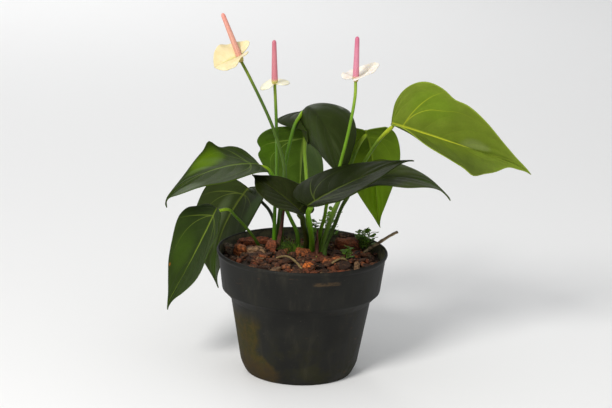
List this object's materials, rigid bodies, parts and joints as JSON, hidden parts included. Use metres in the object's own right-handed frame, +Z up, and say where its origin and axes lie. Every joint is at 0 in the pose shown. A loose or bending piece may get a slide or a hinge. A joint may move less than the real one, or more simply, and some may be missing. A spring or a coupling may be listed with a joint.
{
  "type": "potted anthurium plant",
  "caption": "Flowering anthurium with waved heart-shaped leaves, cream spathes and pink spadices, growing in bark in a round plastic nursery pot.",
  "frame": {"origin": "centre of the pot's base, on the surface that it stands on", "axes": "+Z up along the pot's axis, +X to the side of the highest large leaf, -Y to the front"},
  "size_m": [0.3157, 0.2102, 0.3132],
  "materials": {
    "leaf": "satin green leaf, slightly glossy above",
    "stalk": "smooth yellow-green stalk",
    "spathe": "waxy cream",
    "spadix": "pink, beaded with small florets",
    "sheath": "dry red-brown sheath",
    "root": "dry tan root",
    "twig": "dry grey-brown twig",
    "weed": "thin green seedling leaves",
    "moss": "matte green moss",
    "bark": "rough red-brown bark chips",
    "soil": "dark crumbly potting mix",
    "pot": "charcoal moulded plastic with an algae stain"
  },
  "bodies": {
    "root": {"leaf_right_high_blade": "leaf", "leaf_right_high_petiole": "stalk", "leaf_back_centre_blade": "leaf", "leaf_back_centre_petiole": "stalk", "leaf_back_left_blade": "leaf", "leaf_back_left_petiole": "stalk", "leaf_front_left_blade": "leaf", "leaf_front_left_petiole": "stalk", "leaf_front_right_blade": "leaf", "leaf_front_right_petiole": "stalk", "leaf_back_right_blade": "leaf", "leaf_back_right_petiole": "stalk", "leaf_right_low_blade": "leaf", "leaf_right_low_petiole": "stalk", "leaf_left_high_blade": "leaf", "leaf_left_high_petiole": "stalk", "leaf_left_middle_blade": "leaf", "leaf_left_middle_petiole": "stalk", "leaf_left_low_blade": "leaf", "leaf_left_low_petiole": "stalk", "bloom_left_peduncle": "stalk", "bloom_left_spathe": "spathe", "bloom_left_spadix": "spadix", "bloom_middle_peduncle": "stalk", "bloom_middle_spathe": "spathe", "bloom_middle_spadix": "spadix", "bloom_right_peduncle": "stalk", "bloom_right_spathe": "spathe", "bloom_right_spadix": "spadix", "sheath_left": "sheath", "sheath_centre": "sheath", "sheath_bud": "sheath", "aerial_root_front": "root", "aerial_root_right": "root", "twig": "twig", "weed_right_rim": "weed", "weed_right": "weed", "weed_back": "weed", "weed_centre": "weed", "weed_front": "weed", "moss_tuft": "moss", "bark_chunk_grey": "bark", "bark_chunk_orange": "bark", "bark_chunk_tan": "bark", "bark_chunk_red": "bark", "bark_chunk_middle": "bark", "bark_chunk_bright": "bark", "bark_chunk_dark": "bark", "bark_chunk_back": "bark", "bark_chunk_block": "bark", "bark_chunk_front": "bark", "bark_chunk_rear": "bark", "potting_mix": "soil", "bark_mulch": "bark", "rhizome": "root", "pot": "pot"}
  },
  "joints": []
}
